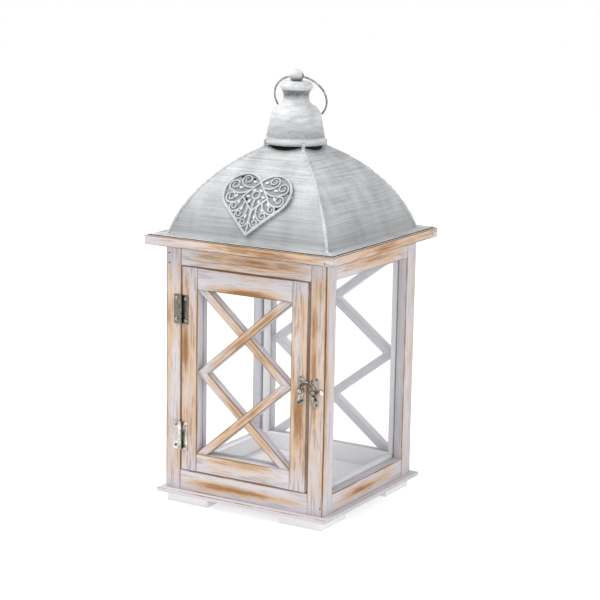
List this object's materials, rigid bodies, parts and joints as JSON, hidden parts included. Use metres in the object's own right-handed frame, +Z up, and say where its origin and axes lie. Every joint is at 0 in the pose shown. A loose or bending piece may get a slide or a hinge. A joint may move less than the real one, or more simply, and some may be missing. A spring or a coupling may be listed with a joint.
{
  "type": "candle lantern",
  "caption": "Whitewashed wooden hurricane candle lantern with lattice glass door, hook latch, curved metal roof, filigree heart, bell chimney cap and carrying ring.",
  "frame": {"origin": "on the ground plane under the middle of the feet", "axes": "+Z up, front with the door towards -Y, +X to the right as seen from the front"},
  "size_m": [0.2228, 0.2228, 0.4534],
  "materials": {
    "whitewashed_wood": "whitewashed pine, sanded back to brown in places",
    "clear_glass": "clear float glass",
    "grey_painted_metal": "dry-brushed grey-white paint on sheet steel",
    "cast_heart": "cast metal, dry-brushed grey-white",
    "nickel_hardware": "antique nickel plate",
    "ring_steel": "plain steel, satin"
  },
  "bodies": {
    "lantern_case": {"back_bottom_rail": "whitewashed_wood", "back_glazing_beads": "whitewashed_wood", "back_lattice_falling": "whitewashed_wood", "back_lattice_rising": "whitewashed_wood", "back_left_stile": "whitewashed_wood", "back_pane": "clear_glass", "back_right_stile": "whitewashed_wood", "back_top_rail": "whitewashed_wood", "base_plate": "whitewashed_wood", "cap_tabs": "grey_painted_metal", "chimney_cap": "grey_painted_metal", "eave_back": "whitewashed_wood", "eave_front": "whitewashed_wood", "eave_left": "whitewashed_wood", "eave_right": "whitewashed_wood", "floor_board": "whitewashed_wood", "foot_back_left": "whitewashed_wood", "foot_back_right": "whitewashed_wood", "foot_front_left": "whitewashed_wood", "foot_front_right": "whitewashed_wood", "front_bottom_rail": "whitewashed_wood", "front_left_stile": "whitewashed_wood", "front_right_stile": "whitewashed_wood", "front_top_rail": "whitewashed_wood", "heart_ornament": "cast_heart", "hinge_case_leaves": "nickel_hardware", "hinge_pins": "nickel_hardware", "knob": "ring_steel", "left_back_stile": "whitewashed_wood", "left_bottom_rail": "whitewashed_wood", "left_front_stile": "whitewashed_wood", "left_glazing_beads": "whitewashed_wood", "left_pane": "clear_glass", "left_top_rail": "whitewashed_wood", "right_back_stile": "whitewashed_wood", "right_bottom_rail": "whitewashed_wood", "right_front_stile": "whitewashed_wood", "right_glazing_beads": "whitewashed_wood", "right_pane": "clear_glass", "right_top_rail": "whitewashed_wood", "roof_back": "grey_painted_metal", "roof_front": "grey_painted_metal", "roof_left": "grey_painted_metal", "roof_right": "grey_painted_metal", "strike_plate": "nickel_hardware"},
    "door": {"door_bottom_rail": "whitewashed_wood", "door_glazing_beads": "whitewashed_wood", "door_lattice_falling": "whitewashed_wood", "door_lattice_rising": "whitewashed_wood", "door_left_stile": "whitewashed_wood", "door_pane": "clear_glass", "door_right_stile": "whitewashed_wood", "door_top_rail": "whitewashed_wood", "hinge_door_leaves": "nickel_hardware", "latch_plate": "nickel_hardware"},
    "hook": {"latch_hook": "nickel_hardware"},
    "ring": {"carry_ring": "ring_steel"}
  },
  "joints": [
    {"name": "door_swing", "type": "hinge", "parent": "lantern_case", "child": "door", "pos_m": [-0.0765, -0.0972, 0.1455], "axis": [0, 0, -1], "range_deg": [0, 175]},
    {"name": "hook_lift", "type": "hinge", "parent": "door", "child": "hook", "pos_m": [0.068, -0.09745, 0.1434], "axis": [0, -1, 0], "range_deg": [0, 150]},
    {"name": "ring_swing", "type": "hinge", "parent": "lantern_case", "child": "ring", "pos_m": [0, 0, 0.44597], "axis": [0.9748, 0.2233, 0], "range_deg": [0, 297]}
  ]
}
